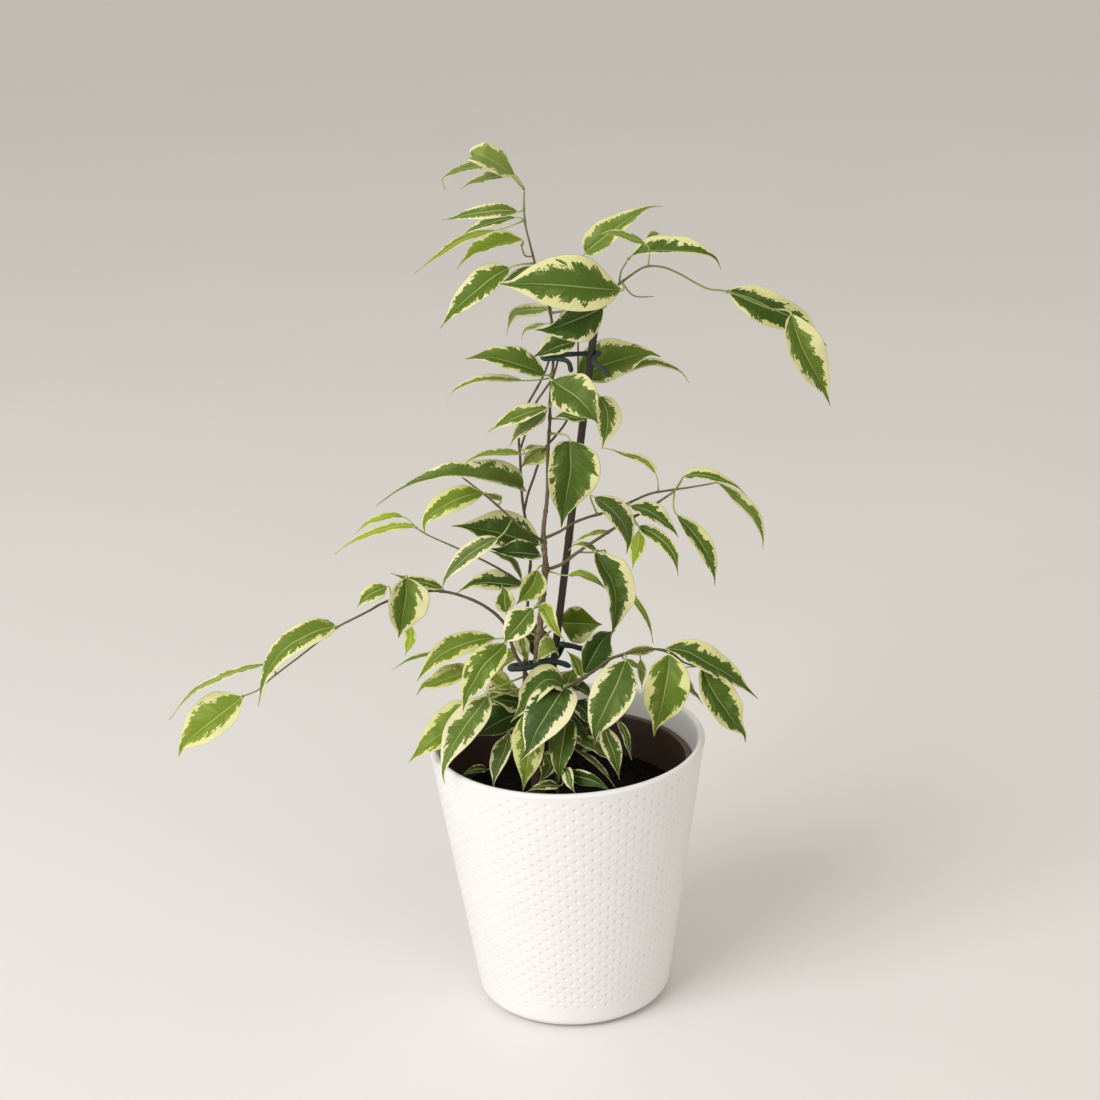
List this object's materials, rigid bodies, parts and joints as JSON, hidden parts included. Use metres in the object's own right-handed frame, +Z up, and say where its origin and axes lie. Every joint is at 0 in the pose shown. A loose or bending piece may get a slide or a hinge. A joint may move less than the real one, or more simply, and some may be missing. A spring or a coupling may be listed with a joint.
{
  "type": "potted weeping fig",
  "caption": "Small variegated weeping fig, staked on a cane, in a brown nursery pot inside a tapered white cover pot with a dimpled side.",
  "frame": {"origin": "middle of the whole outline in plan, at the ground under the cover pot's pads", "axes": "+Z up along the pot's axis, -Y towards the viewer of the picture, +X to the viewer's right"},
  "size_m": [0.3494, 0.1494, 0.4762],
  "materials": {
    "white_glaze": "satin",
    "black_rubber": "matte",
    "brown_plastic": "matte",
    "dark_soil": "matte",
    "cane_brown": "matte",
    "tie_green": "matte",
    "bark": "matte",
    "leaf_green": "satin"
  },
  "bodies": {
    "root": {"cover_pot": "white_glaze", "leaf_10": "leaf_green", "leaf_11": "leaf_green", "leaf_16": "leaf_green", "leaf_21": "leaf_green", "leaf_22": "leaf_green", "leaf_23": "leaf_green", "leaf_24": "leaf_green", "leaf_25": "leaf_green", "leaf_26": "leaf_green", "leaf_29": "leaf_green", "leaf_31": "leaf_green", "leaf_33": "leaf_green", "leaf_35": "leaf_green", "leaf_36": "leaf_green", "leaf_37": "leaf_green", "leaf_38": "leaf_green", "leaf_45": "leaf_green", "leaf_46": "leaf_green", "leaf_52": "leaf_green", "leaf_55": "leaf_green", "leaf_60": "leaf_green", "leaf_60b": "leaf_green", "leaf_61": "leaf_green", "leaf_62": "leaf_green", "leaf_63": "leaf_green", "leaf_64": "leaf_green", "leaf_66": "leaf_green", "leaf_67": "leaf_green", "leaf_68a": "leaf_green", "leaf_68b": "leaf_green", "leaf_68c": "leaf_green", "leaf_71": "leaf_green", "leaf_72": "leaf_green", "leaf_76": "leaf_green", "leaf_77": "leaf_green", "leaf_8": "leaf_green", "main_stem": "bark", "nursery_pot": "brown_plastic", "pad_back_left": "black_rubber", "pad_back_right": "black_rubber", "pad_front": "black_rubber", "plant_tie_lower": "tie_green", "plant_tie_upper": "tie_green", "potting_soil": "dark_soil", "second_stem": "bark", "shoot_low_left": "bark", "shoot_low_middle": "bark", "shoot_top_left": "bark", "shoot_top_right": "bark", "support_cane": "cane_brown", "twig_left": "bark", "twig_right_low": "bark", "twig_right_middle": "bark", "twig_right_upper": "bark"}
  },
  "joints": []
}
